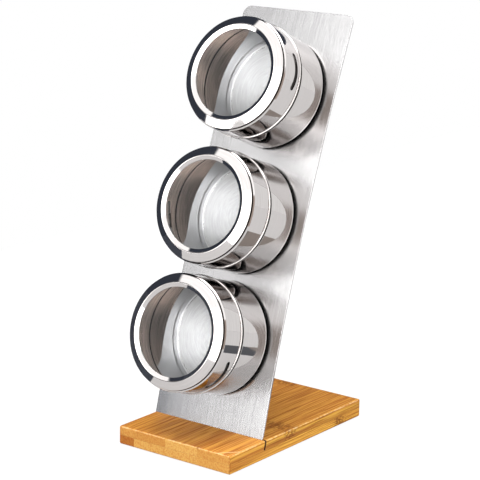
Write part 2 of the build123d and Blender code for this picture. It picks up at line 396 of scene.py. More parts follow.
def upright_brushing(name):
    """Fine lines that run up the plate."""
    inputs = {"Depth": 0.1}
    outputs = {"Normal": "NodeSocketVector", "Streaks": "NodeSocketFloat"}
    tree, graph, given, gives = new_group(name, inputs, outputs)
    x, _, z = graph.split(graph.place())

    def lines(across, start, along, detail, roughness):
        """Noise that is drawn out up the plate."""
        stretched = graph.join(graph.times(x, across), start, graph.times(z, along))
        return graph.noise(stretched, 1.0, detail, roughness)

    fine = lines(across=30.0, start=0.0, along=0.15, detail=1.0, roughness=0.5)
    broad = lines(across=2.2, start=3.0, along=0.02, detail=2.0, roughness=0.7)
    amount = graph.times(graph.math("SUBTRACT", fine, 0.5), given["Depth"])
    graph.feed(gives["Normal"], tilted_normal(graph, (1.0, 0.0, 0.0), amount))
    graph.feed(gives["Streaks"], broad)
    return tree


def handling_marks(name):
    """Faint smears of handling, from 0 on clean metal to 1."""
    inputs = {"Size": 9.0, "Seed": 0.0}
    tree, graph, given, gives = new_group(name, inputs, {"Smears": "NodeSocketFloat"})
    place = graph.vector("ADD", graph.place(), graph.join(given["Seed"], given["Seed"], given["Seed"]))
    frequency = graph.math("DIVIDE", 1.0, given["Size"])
    broad = graph.noise(place, frequency, 4.0, 0.6)
    fine = graph.noise(place, graph.times(frequency, 7.0), 3.0, 0.7)
    both = graph.math("ADD", graph.times(broad, 0.7), graph.times(fine, 0.3))
    graph.feed(gives["Smears"], graph.ramp(both, 0.35, 0.7))
    return tree


def bamboo_fibres(name):
    """Fibre bundles of bamboo that run along Y: streaks on the faces and dots on the ends."""
    inputs = {"Seed": 0.0, "Node place": 0.0, "Node width": 8.0}
    labels = ("Bands", "Flecks", "Dots", "Node mark", "End", "Side", "Height")
    outputs = {label: "NodeSocketFloat" for label in labels}
    tree, graph, given, gives = new_group(name, inputs, outputs)
    shift = graph.scale((17.3, 5.1, 0.0), given["Seed"])
    x, y, z = graph.split(graph.vector("ADD", graph.place(), shift))
    slow_x, slow_y = graph.times(x, 0.1), graph.times(y, 0.025)
    wander = graph.noise(graph.join(slow_x, slow_y, z), 1.0, 1.0)
    x = graph.math("ADD", x, graph.times(wander, 1.4))

    def grain(across, along, detail):
        """Noise that is drawn out along the fibres."""
        stretched = (graph.times(*pair) for pair in ((x, across), (y, along), (z, across)))
        return graph.noise(graph.join(*stretched), 1.0, detail, 0.65)

    bands = graph.ramp(grain(0.55, 0.008, 4.0), 0.36, 0.64)
    flecks = graph.ramp(grain(1.5, 0.025, 2.0), 0.5, 0.64)
    graph.feed(gives["Dots"], graph.ramp(grain(0.9, 0.025, 3.0), 0.44, 0.6))
    graph.feed(gives["Bands"], bands)
    graph.feed(gives["Flecks"], flecks)
    place = graph.place()
    own_y = graph.split(place)[1]
    ragged = graph.times(graph.math("SUBTRACT", graph.noise(place, 0.4, 2.0), 0.5), 9.0)
    distance = graph.math("SUBTRACT", own_y, given["Node place"])
    distance = graph.math("ABSOLUTE", graph.math("ADD", distance, ragged))
    near = graph.ramp(graph.math("DIVIDE", distance, given["Node width"]), 0.3, 1.0, 1.0, 0.0)
    hatch = graph.noise(graph.vector("MULTIPLY", place, (1.1, 0.4, 1.1)), 1.0, 2.0)
    graph.feed(gives["Node mark"], graph.times(near, graph.ramp(hatch, 0.40, 0.56)))
    sideways, lengthways, _ = graph.split(graph.node("ShaderNodeTexCoord").outputs["Normal"])
    graph.feed(gives["End"], graph.ramp(graph.math("ABSOLUTE", lengthways), 0.5, 0.8))
    # Side masks the upright sides that get painted light.
    graph.feed(gives["Side"], graph.ramp(graph.math("ABSOLUTE", sideways), 0.5, 0.8))
    graph.feed(gives["Height"], graph.math("SUBTRACT", bands, graph.times(flecks, 0.6)))
    return tree


def rubbed_edges(name):
    """Wear of the base, 0 to 1: pale on top edges and in a scratch, dark up the corners and in a chip."""
    outputs = {"Worn": "NodeSocketFloat", "Scorched": "NodeSocketFloat"}
    tree, graph, given, gives = new_group(name, {"Reach": 0.9}, outputs)
    place = graph.place()
    x, y, z = graph.split(place)
    low, high = (corner / mm for corner in base_box())
    from_side = graph.math("SUBTRACT", high.x, graph.math("ABSOLUTE", x))
    from_end = graph.math("SUBTRACT", high.y, graph.math("ABSOLUTE", y))
    from_top = graph.math("SUBTRACT", high.z, z)
    top_edge = graph.math("MAXIMUM", graph.math("MINIMUM", from_side, from_end), from_top)
    patchy = graph.noise(place, 0.3, 3.0, 0.65)
    reach = graph.times(given["Reach"], graph.ramp(patchy, 0.35, 0.7, 0.5, 1.4))
    worn = graph.ramp(graph.math("DIVIDE", top_edge, reach), 0.1, 1.0, 1.0, 0.0)
    scratch_left, scratch_back = 8.8, 9.8
    start, end = Vector((high.x - scratch_left, low.y)), Vector((high.x, low.y + scratch_back))
    off = (end - start).orthogonal().normalized()
    offset = graph.math("ADD", graph.times(x, off.x), graph.times(y, off.y))
    offset = graph.math("ABSOLUTE", graph.math("SUBTRACT", offset, off.dot(start)))
    on_line = graph.ramp(offset, 0.2, 0.8, 1.0, 0.0)
    scratch = graph.times(on_line, graph.ramp(from_top, 0.2, 0.5, 1.0, 0.0))
    graph.feed(gives["Worn"], graph.math("MAXIMUM", worn, scratch))
    upright_edge = graph.math("MAXIMUM", from_side, from_end)
    dotted = graph.ramp(graph.noise(place, 1.0, 2.0), 0.4, 0.6)
    scorched = graph.times(graph.ramp(upright_edge, 0.2, 1.3, 1.0, 0.0), dotted)
    chip = Vector((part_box("base_front_strip_4")[0].x / mm, low.y, high.z))
    from_chip = graph.node("ShaderNodeVectorMath", {0: place, 1: chip}, operation="DISTANCE").outputs["Value"]
    graph.feed(gives["Scorched"], graph.math("MAXIMUM", scorched, graph.ramp(from_chip, 0.5, 1.3, 1.0, 0.0)))
    return tree


def new_material(name, **settings):
    """A material with one main shader: the material, its graph and that shader."""
    material = bpy.data.materials.new(name)
    material.use_nodes = True
    tree = material.node_tree
    tree.nodes.clear()
    graph = Graph(tree)
    shader = graph.node("ShaderNodeBsdfPrincipled")
    for label, value in settings.items():
        shader.inputs[label.replace("_", " ").title().replace("Ior", "IOR")].default_value = value
    graph.node("ShaderNodeOutputMaterial", {"Surface": shader.outputs[0]})
    return material, graph, shader.inputs


def show(graph, factor, other):
    """Show another shader in place of the main one, as far as a factor says."""
    output = next(node for node in graph.tree.nodes if node.type == "OUTPUT_MATERIAL")
    main_shader = output.inputs["Surface"].links[0].from_socket
    both = graph.node("ShaderNodeMixShader")
    for socket, value in zip(both.inputs, (factor, main_shader, other)):
        graph.feed(socket, value)
    graph.feed(output.inputs["Surface"], both.outputs[0])


def opaque(rgb):
    """A colour with full alpha."""
    return (*rgb, 1.0)


def shade_of(rgb, factor):
    """A darker or lighter tone of a colour."""
    return tuple(min(1.0, part * factor) for part in rgb) + (1.0,)


def stained(rgb, tone):
    """A tone of a wood colour: the darker, the redder."""
    return tuple(min(1.0, part * tone ** power) for part, power in zip(rgb, (1, 2, 3))) + (1.0,)


def bamboo(name, settings, tone, end_tone, seed, node_place):
    """Oiled bamboo of one strip, with tones of its faces and ends, and its node's place along it."""
    material, graph, shader = new_material(name, specular_ior_level=0.1)
    fibres = graph.group(shared_group("Bamboo fibres", bamboo_fibres), seed=seed, node_place=node_place)
    edges = graph.group(shared_group("Rubbed edges", rubbed_edges))
    dark, light = settings.dark_bamboo, settings.light_bamboo
    face = graph.mix(fibres["Bands"], shade_of(dark, 1.4 * tone), shade_of(light, tone))
    face = graph.mix(graph.times(fibres["Flecks"], 0.8), face, shade_of(dark, tone))
    end = stained(settings.end_bamboo, end_tone)
    end_fibres = stained(shade_of(dark, 1.3)[:3], end_tone)
    end = graph.mix(graph.times(fibres["Dots"], 0.5), end, end_fibres)
    # Painted light: the upright sides are made lighter, partly also for their different grain.
    face = graph.mix(fibres["Side"], face, opaque(settings.side_light_tint), blend="MULTIPLY")
    wood = graph.mix(fibres["End"], face, end)
    wood = graph.mix(graph.times(fibres["Node mark"], 0.8), wood, shade_of(dark, 0.7))
    wood = graph.mix(graph.times(edges["Worn"], 0.6), wood, opaque(settings.worn_bamboo))
    wood = graph.mix(graph.times(edges["Scorched"], 0.7), wood, shade_of(dark, 0.8))
    graph.feed(shader["Base Color"], wood)
    graph.feed(shader["Roughness"], graph.ramp(fibres["Flecks"], 0.0, 1.0, 0.5, 0.65, smooth=False))
    bump = graph.node("ShaderNodeBump", {"Height": fibres["Height"], "Strength": 0.25, "Distance": 0.12 * mm})
    graph.feed(shader["Normal"], bump.outputs[0])
    return material


def scorched_cut(settings):
    """Bamboo that the saw has scorched."""
    material, graph, shader = new_material("scorched_cut", roughness=0.8)
    scorch = graph.noise(graph.place(), 1.5, 3.0)
    tones = (shade_of(settings.sawn_bamboo, factor) for factor in (0.6, 1.5))
    graph.feed(shader["Base Color"], graph.mix(scorch, *tones))
    return material


def brushed_plate(settings):
    """Steel sheet, brushed upright."""
    material, graph, shader = new_material("brushed_plate", metallic=1.0)
    brushing = graph.group(shared_group("Upright brushing", upright_brushing), depth=0.13)
    streaks = graph.ramp(brushing["Streaks"], 0.32, 0.68, smooth=False)
    steel = graph.mix(streaks, shade_of(settings.steel, 0.95), shade_of(settings.steel, 1.05))
    graph.feed(shader["Base Color"], steel)
    graph.feed(shader["Roughness"], graph.ramp(brushing["Streaks"], 0.3, 0.7, 0.22, 0.26))
    graph.feed(shader["Normal"], brushing["Normal"])
    return material


def turned_steel(name, rgb, lines, depth, roughness, seed=0.0, dish=0.0, contrast=0.06):
    """Steel of a turned piece, with lines round its axis and faint smears.

    Its roughness goes from clean metal to smears, and a dish leans its normals inwards.
    """
    material, graph, shader = new_material(name, metallic=1.0)
    turned = shared_group("Turned brushing", turned_brushing)
    brushing = graph.group(turned, lines=lines, depth=depth, dish=dish)
    smears = graph.group(shared_group("Handling marks", handling_marks), seed=seed)["Smears"]
    streaks = graph.ramp(brushing["Streaks"], 0.3, 0.7, smooth=False)
    steel = graph.mix(streaks, shade_of(rgb, 1.0 - contrast), shade_of(rgb, 1.0 + contrast))
    graph.feed(shader["Base Color"], steel)
    graph.feed(shader["Roughness"], graph.ramp(smears, 0.0, 1.0, *roughness, smooth=False))
    graph.feed(shader["Normal"], brushing["Normal"])
    return material


def clear_window():
    """Clear plastic window that lets the light in."""
    material, graph, shader = new_material(
        "clear_window", transmission_weight=1.0, ior=1.46, base_color=(0.985, 0.99, 0.99, 1.0)
    )
    smears = graph.group(shared_group("Handling marks", handling_marks), size=14.0)["Smears"]
    graph.feed(shader["Roughness"], graph.ramp(smears, 0.0, 1.0, 0.0, 0.02, smooth=False))
    shadow = graph.node("ShaderNodeLightPath").outputs["Is Shadow Ray"]
    show(graph, shadow, graph.node("ShaderNodeBsdfTransparent").outputs[0])
    return material


def gasket_silicone(settings):
    """Translucent white silicone."""
    material, graph, shader = new_material("gasket_silicone", subsurface_weight=0.3)
    smears = graph.group(shared_group("Handling marks", handling_marks), size=3.0)["Smears"]
    clean, smeared = opaque(settings.gasket), shade_of(settings.gasket, 0.85)
    graph.feed(shader["Base Color"], graph.mix(smears, clean, smeared))
    graph.feed(shader["Roughness"], graph.ramp(smears, 0.0, 1.0, 0.35, 0.55))
    return material


def magnet_ferrite(settings):
    """Dark ferrite with a grainy pressed face."""
    material, graph, shader = new_material("magnet_ferrite")
    grain = graph.noise(graph.place(), 6.0, 4.0, 0.7)
    tones = (shade_of(settings.magnet, factor) for factor in (0.7, 1.5))
    graph.feed(shader["Base Color"], graph.mix(grain, *tones))
    graph.feed(shader["Roughness"], graph.ramp(grain, 0.3, 0.7, 0.5, 0.75))
    bump = graph.node("ShaderNodeBump", {"Height": grain, "Strength": 0.4, "Distance": 0.1 * mm})
    graph.feed(shader["Normal"], bump.outputs[0])
    return material


def matt_stage_sheet(name, rgb):
    """Dark matt sheet of the stage's flag, and of the cards that paint the stand's shadow."""
    material, graph, shader = new_material(name, roughness=0.9)
    mottle = graph.noise(graph.place(), 0.5, 2.0)
    graph.feed(shader["Base Color"], graph.mix(mottle, shade_of(rgb, 0.9), shade_of(rgb, 1.1)))
    return material


def pale_floor(grey, veil):
    """Matt pale paper, which the camera sees through a plain white veil."""
    material, graph, shader = new_material("pale_floor")
    fibre = graph.noise(graph.place(), 0.4, 3.0)
    paper = (grey, grey, grey)
    graph.feed(shader["Base Color"], graph.mix(fibre, shade_of(paper, 0.98), shade_of(paper, 1.02)))
    graph.feed(shader["Roughness"], graph.ramp(fibre, 0.3, 0.7, 0.8, 0.95))
    seen = graph.node("ShaderNodeLightPath").outputs["Is Camera Ray"]
    white = graph.node("ShaderNodeEmission", {"Color": (1.0, 1.0, 1.0, 1.0), "Strength": 1.1})
    show(graph, graph.times(seen, veil), white.outputs[0])
    return material


def base_box():
    """Lowest and highest corner of the whole base."""
    boxes = [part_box(node) for node in frame["record"]["behaviour"]["bodies"]["base"]]
    low = Vector([min(box[0][axis] for box in boxes) for axis in range(3)])
    high = Vector([max(box[1][axis] for box in boxes) for axis in range(3)])
    return low, high


def new_piece(name, mesh, materials):
    """An object of the scene with its materials."""
    piece = bpy.data.objects.new(name, mesh)
    bpy.context.scene.collection.objects.link(piece)
    for material in materials:
        mesh.materials.append(material)
    return piece


def smooth(piece, sharp=35.0):
    """Smooth shading that keeps flat faces flat and edges over an angle sharp."""
    piece.data.shade_smooth()
    piece.data.set_sharp_from_angle(angle=radians(sharp))
    weighted = piece.modifiers.new("weighted normals", "WEIGHTED_NORMAL")
    weighted.keep_sharp = True


def stands_for(piece, node, body):
    """Tie a piece to the CAD node that it stands for."""
    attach(piece, body)
    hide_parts(node)


def body_of_node(node):
    """The body that a CAD node belongs to."""
    bodies = frame["record"]["behaviour"]["bodies"]
    return next(body for body, nodes in bodies.items() if node in nodes)


def finished_mesh(bm, name):
    """The mesh that an edit ends in."""
    mesh = bpy.data.meshes.new(name)
    bm.to_mesh(mesh)
    bm.free()
    return mesh


def flat_mesh(name, corners):
    """A mesh of one flat face."""
    mesh = bpy.data.meshes.new(name)
    mesh.from_pydata(corners, [], [range(len(corners))])
    return mesh


def prism(outline, shift):
    """An edited mesh of a flat outline that is drawn out by a shift."""
    bm = bmesh.new()
    face = bm.faces.new([bm.verts.new(corner) for corner in outline])
    drawn = bmesh.ops.extrude_face_region(bm, geom=[face])["geom"]
    bmesh.ops.translate(bm, vec=shift, verts=[item for item in drawn if isinstance(item, bmesh.types.BMVert)])
    bmesh.ops.recalc_face_normals(bm, faces=bm.faces)
    return bm


def round_edges(bm, edges, offset, segments):
    """Round some edges of an edited mesh."""
    bmesh.ops.bevel(
        bm, geom=edges, offset=offset, segments=segments, profile=0.5, affect="EDGES", clamp_overlap=True
    )


def strip_mesh(node, base, plate):
    """A bamboo strip: its box, slanted at the saw cut, with rounded outer edges and bevelled joints.

    The faces of the saw cut get the second material.
    """
    touching, facing = 0.05 * mm, 0.8
    low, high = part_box(node)
    base_low, base_high = base_box()
    slant = (high.z - low.z) * tan(plate.lean)
    front_low = front_high = low.y
    rear_low = rear_high = high.y
    if high.y < base_high.y - mm:
        rear_low = high.y - slant
    if low.y > base_low.y + mm:
        front_high = low.y + slant
    bm = bmesh.new()
    for x in (low.x, high.x):
        for z, front, rear in ((low.z, front_low, rear_low), (high.z, front_high, rear_high)):
            for y in (front, rear):
                bm.verts.new((x, y, z))
    bmesh.ops.convex_hull(bm, input=bm.verts)
    bmesh.ops.dissolve_limit(bm, angle_limit=radians(1), verts=bm.verts, edges=bm.edges)
    bmesh.ops.recalc_face_normals(bm, faces=bm.faces)

    def is_outer(face):
        centre = face.calc_center_median()
        return any(
            min(abs(centre[axis] - base_low[axis]), abs(centre[axis] - base_high[axis])) < touching
            for axis in range(3)
        )

    outer_edges = [edge for edge in bm.edges if all(is_outer(face) for face in edge.link_faces)]
    round_edges(bm, outer_edges, base.edge_round, segments=5)
    sharp_edges = [edge for edge in bm.edges if edge.calc_face_angle(0.0) > radians(45)]
    round_edges(bm, sharp_edges, base.joint_bevel, segments=2)
    for face in bm.faces:
        middle = face.calc_center_median()
        across_cut = abs(face.normal.y) > facing and base_low.y + cm < middle.y < base_high.y - cm
        under_cut = face.normal.z > facing and middle.z < base_high.z - 2 * base.edge_round
        face.material_index = int(across_cut or under_cut)
    return finished_mesh(bm, node + "_bamboo")


def plate_line(plate):
    """Two functions for the plate seen from the side.

    One goes from the length along its front face and the depth behind that to Y and Z.
    The other goes from Z to the length along its front face.
    """
    base_low, base_high = base_box()
    slot_y = base_low.y + plate.setback
    centre_y = slot_y + plate.bow_radius * cos(plate.lean)
    centre_z = base_high.z - plate.bow_radius * sin(plate.lean)

    def point(along, depth):
        lean = plate.lean + along / plate.bow_radius
        radius = plate.bow_radius - depth
        return centre_y - radius * cos(lean), centre_z + radius * sin(lean)

    def along_at(z):
        return plate.bow_radius * (asin((z - centre_z) / plate.bow_radius) - plate.lean)

    return point, along_at


def plate_mesh(plate):
    """The plate: a flat blank with two rounded corners, cut across in steps and bowed."""
    low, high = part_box("back_plate")
    point, along_at = plate_line(plate)
    bottom, top = along_at(low.z + plate.thickness * sin(plate.lean)), along_at(high.z)
    left, right, corner = low.x, high.x, plate.corner_radius
    rim = [(left, bottom, 0.0), (right, bottom, 0.0)]
    steps = 12
    for centre_x, start in ((right - corner, 0.0), (left + corner, pi / 2)):
        for step in range(steps + 1):
            turn = start + step * pi / 2 / steps
            rim.append((centre_x + corner * cos(turn), top - corner + corner * sin(turn), 0.0))
    bm = prism(rim, (0.0, 0.0, plate.thickness))
    front_edges = [edge for edge in bm.edges if all(v.co.z < 0.5 * plate.thickness for v in edge.verts)]
    round_edges(bm, front_edges, plate.edge_round, segments=3)
    cuts = 80
    for cut in range(1, cuts):
        along = bottom + (top - corner - bottom) * cut / cuts
        geometry = bm.verts[:] + bm.edges[:] + bm.faces[:]
        bmesh.ops.bisect_plane(bm, geom=geometry, plane_co=(0, along, 0), plane_no=(0, 1, 0), dist=1e-7)
    for vertex in bm.verts:
        x, along, depth = vertex.co
        y, z = point(along, depth)
        vertex.co = (x, y, z)
    bmesh.ops.recalc_face_normals(bm, faces=bm.faces)
    return finished_mesh(bm, "back_plate_brushed")


def tin_sizes(t):
    """Radii and heights of a tin's section that follow from its settings."""
    s = SimpleNamespace()
    s.body_inner = t.radius - t.sheet
    s.neck_outer = s.body_inner - t.lid_clearance
    s.neck_inner = s.neck_outer - t.sheet
    s.pocket = t.radius - t.corner_radius - t.foot_width
    s.rim = t.radius + t.rim_proud
    s.bezel = t.radius - t.bezel_inset
    s.ridge = s.bezel - t.outer_facet_width
    s.opening = s.ridge - t.inner_facet_width
    s.window = s.opening + t.window_overlap
    s.groove = s.bezel - t.groove_depth
    s.shoulder = t.radius - t.shoulder_inset
    s.register = s.bezel - t.register_inset
    s.foot_height = t.plate_gap + t.magnet_proud
    s.pocket_height = t.plate_gap + t.magnet_thickness
    s.floor_height = s.pocket_height + t.sheet
    s.body_top = s.foot_height + t.body_length
    s.neck_bottom = s.body_top + t.neck_step
    s.neck_top = s.neck_bottom + t.neck_length
    s.rim_height = s.neck_bottom + t.rim_gap + t.rim_bead_radius
    s.gasket_bottom = s.neck_top + t.lid_clearance
    s.window_bottom = s.gasket_bottom + t.gasket_thickness + t.gasket_clearance
    s.window_top = s.window_bottom + t.window_thickness
    s.lip_height = s.window_top + t.lip_thickness
    s.ridge_height = s.lip_height + t.inner_facet_rise
    s.bezel_height = s.ridge_height - t.outer_facet_drop
    s.groove_height = s.bezel_height - t.groove_drop
    s.shoulder_height = s.groove_height - t.shoulder_drop
    s.pour_height = s.rim_height + t.pour_above_rim
    return s


def tin_outline(t, s):
    """Corners of the tin body's section, from axis to axis: radius, height and rounding."""
    return (
        (0.0, s.pocket_height, 0.0),
        (s.pocket, s.pocket_height, t.fold_round),
        (s.pocket, s.foot_height, t.fold_round),
        (t.radius, s.foot_height, t.corner_radius),
        (t.radius, s.body_top, t.fold_round),
        (s.neck_outer, s.neck_bottom, t.fold_round),
        (s.neck_outer, s.neck_top, t.small_round),
        (s.neck_inner, s.neck_top, t.small_round),
        (s.neck_inner, s.neck_bottom, t.fold_round),
        (s.body_inner, s.body_top, t.fold_round),
        (s.body_inner, s.body_top - t.step_shade, 0.0),
        # Upper edge of the painted reflection on the inner wall.
        (s.body_inner, t.reflection_height, 0.0),
        (s.body_inner, s.foot_height + t.sheet, t.inner_corner),
        (s.pocket + t.sheet + t.bright_width, s.foot_height + t.sheet, 0.0),
        (s.pocket + t.sheet, s.foot_height + t.sheet, t.small_round),
        (s.pocket + t.sheet - t.floor_lean, s.floor_height, t.floor_round),
        (0.0, s.floor_height, 0.0),
    )


def lid_outline(t, s):
    """Corners of the lid shell's section, all the way round: radius, height and rounding."""
    bead = t.rim_bead_radius
    outer_round, inner_round = 0.97 * bead, 0.3 * bead
    return (
        (s.opening, s.lip_height, t.small_round),
        (s.ridge, s.ridge_height, t.ridge_round),
        (s.bezel, s.bezel_height, t.edge_round),
        (s.groove, s.groove_height, t.small_round),
        (s.shoulder, s.shoulder_height, t.shoulder_round),
        (t.radius, s.shoulder_height - t.shoulder_fall, t.shoulder_round),
        (t.radius, s.rim_height + bead, t.rim_fillet),
        (s.rim, s.rim_height + bead, outer_round),
        (s.rim, s.rim_height - bead, outer_round),
        (s.body_inner, s.rim_height - bead, inner_round),
        (s.body_inner, s.gasket_bottom, 0.0),
        (s.register, s.window_bottom, 0.0),
        (s.window + t.lid_clearance, s.window_bottom, 0.0),
        (s.window + t.lid_clearance, s.window_top, 0.0),
        (s.opening, s.window_top, t.small_round),
    )


def window_outline(t, s):
    """Corners of the window's section, from axis to axis: radius, height and rounding."""
    return (
        (0.0, s.window_bottom, 0.0),
        (s.window, s.window_bottom, t.small_round),
        (s.window, s.window_top, t.small_round),
        (0.0, s.window_top, 0.0),
    )


def rounded(corners, step=radians(11)):
    """Points along an outline whose corners are rounded by arcs."""
    points = []
    for index, (radius, height, rounding) in enumerate(corners):
        corner = Vector((radius, height))
        if rounding == 0.0:
            points.append(corner)
            continue
        before = (Vector(corners[index - 1][:2]) - corner).normalized()
        after = (Vector(corners[(index + 1) % len(corners)][:2]) - corner).normalized()
        opening = before.angle(after)
        reach = rounding / tan(opening / 2)
        centre = corner + (before + after).normalized() * rounding / sin(opening / 2)
        first = corner + before * reach - centre
        last = corner + after * reach - centre
        turn = first.angle_signed(last)
        steps = max(2, ceil(abs(turn) / step))
        for part in range(steps + 1):
            points.append(centre + Matrix.Rotation(-turn * part / steps, 2) @ first)
    return points


def turned_mesh(name, corners, turns):
    """A mesh turned about Z from a section that is closed, or runs from axis to axis."""
    on_axis = 1e-9
    bm = bmesh.new()
    rings = []
    for radius, height in rounded(corners):
        if radius < on_axis:
            rings.append([bm.verts.new((0.0, 0.0, height))])
            continue
        ring = []
        for step in range(turns):
            turn = 2 * pi * step / turns
            ring.append(bm.verts.new((radius * cos(turn), radius * sin(turn), height)))
        rings.append(ring)
    for first, second in zip(rings, rings[1:] + rings[:1]):
        if len(first) == len(second) == 1:
            continue
        for step in range(turns):
            following = (step + 1) % turns
            corners_of_face = [first[step % len(first)], first[following % len(first)],
                               second[following % len(second)], second[step % len(second)]]
            bm.faces.new(list(dict.fromkeys(corners_of_face)))
    bmesh.ops.recalc_face_normals(bm, faces=bm.faces)
    return finished_mesh(bm, name)


def pour_cutter(t, s):
    """The prism that cuts a pour slot on the +X side: a crescent with round ends."""
    bow = ((t.pour_chord / 2) ** 2 + t.pour_sag ** 2) / (2 * t.pour_sag)
    half = asin(t.pour_chord / 2 / bow)
    rim = []
    steps = 14
    for radius, direction in ((bow + t.pour_width / 2, 1), (bow - t.pour_width / 2, -1)):
        for step in range(steps + 1):
            turn = direction * half * (2 * step / steps - 1)
            rim.append((radius * sin(turn), -radius * cos(turn)))
        end = direction * half
        for step in range(1, steps):
            turn = end + pi * step / steps
            reach = direction * t.pour_width / 2
            rim.append((bow * sin(end) + reach * sin(turn), -bow * cos(end) - reach * cos(turn)))
    outline = [(t.radius / 2, y, s.pour_height + bow + z) for y, z in rim]
    return finished_mesh(prism(outline, (t.radius, 0.0, 0.0)), "pour_cutter")


def with_pour_slot(mesh, t, s):
    """The same mesh with a pour slot cut through its +X side."""
    cutter = new_piece("pour_cutter", pour_cutter(t, s), [])
    blank = new_piece("pour_blank", mesh, [])
    cut = blank.modifiers.new("pour", "BOOLEAN")
    cut.operation = "DIFFERENCE"
    cut.solver = "EXACT"
    cut.object = cutter
    bpy.context.view_layer.update()
    result = bpy.data.meshes.new_from_object(blank.evaluated_get(bpy.context.evaluated_depsgraph_get()))
    result.name = mesh.name + "_slotted"
    if len(result.vertices) <= len(mesh.vertices):
        raise RuntimeError(f"the pour slot of {mesh.name} was not cut")
    for temporary in (cutter, blank):
        bpy.data.objects.remove(temporary)
    return result


def tin_axes(place, t, turn=0.0):
    """Where a tin stands: X to the right, Y up the plate and Z out through the window, turned about Z."""
    joint = twist_joints[place + "_lid"]
    outwards = Vector(joint["axis"]).normalized()
    on_axis = Vector(joint["pos_m"])
    magnet = frame["nodes"][place + "_magnet"].data
    magnet_foot = min((vertex.co - on_axis).dot(outwards) for vertex in magnet.vertices)
    origin = on_axis + outwards * (magnet_foot - t.plate_gap)
    right = Vector((1, 0, 0))
    axes = Matrix((right, outwards.cross(right), outwards)).transposed().to_4x4()
    return Matrix.Translation(origin) @ axes @ Matrix.Rotation(turn, 4, "Z")


def turned_piece(name, mesh, axes, materials):
    """A turned mesh set in its place as an object. Its points keep where they are about its own axis."""
    places = [vertex.co / mm for vertex in mesh.vertices]
    runs = [axes.to_3x3() @ Vector((-place.y, place.x, 0.0)).normalized() for place in places]
    for label, vectors in (("turned_place", places), ("turned_run", runs)):
        attribute = mesh.attributes.new(label, "FLOAT_VECTOR", "POINT")
        attribute.data.foreach_set("vector", [part for vector in vectors for part in vector])
    mesh.transform(axes)
    piece = new_piece(name, mesh, materials)
    smooth(piece)
    return piece


class SPICE_OT_base_strips(bpy.types.Operator):
    """Make the bamboo strips of the base"""

    bl_idname = "spice_stand.base_strips"
    bl_label = "Bamboo strips"

    # Each ply from left to right: tones of faces and ends, and a node's place along the strip in millimetres.
    tones = {
        "lower": (0.82, 1.0, 1.04, 0.98),
        "front": (1.0, 1.0, 0.88, 1.0),
        "rear": (0.87, 0.85, 0.83, 0.85),
    }
    end_tones = {
        "lower": (0.64, 0.99, 1.0, 0.95),
        "front": (0.88, 0.85, 1.02, 0.91),
        "rear": (0.95, 0.9, 1.0, 0.85),
    }
    off_strip = 90.0
    node_places = {
        "lower": (off_strip, off_strip, off_strip, 42.0),
        "front": (off_strip, off_strip, off_strip, off_strip),
        "rear": (off_strip, 60.0, off_strip, -7.0),
    }

    def execute(self, context):
        base, plate = context.scene.spice_base, context.scene.spice_plate
        cut = scorched_cut(base)
        for ply, first_seed in (("lower", 0.5), ("front", 10.0), ("rear", 10.0)):
            looks = zip(self.tones[ply], self.end_tones[ply], self.node_places[ply])
            for number, (tone, end_tone, node_place) in enumerate(looks, start=1):
                node = f"base_{ply}_strip_{number}"
                seed = first_seed + number
                wood = bamboo(f"bamboo_{ply}_{number}", base, tone, end_tone, seed, node_place)
                piece = new_piece(node + "_bamboo", strip_mesh(node, base, plate), [wood, cut])
                smooth(piece)
                stands_for(piece, node, "base")
        return {"FINISHED"}


class SPICE_OT_back_plate(bpy.types.Operator):
    """Make the brushed plate"""

    bl_idname = "spice_stand.back_plate"
    bl_label = "Brushed plate"

    def execute(self, context):
        plate = context.scene.spice_plate
        piece = new_piece("back_plate_brushed", plate_mesh(plate), [brushed_plate(plate)])
        smooth(piece)
        stands_for(piece, "back_plate", "plate")
        return {"FINISHED"}


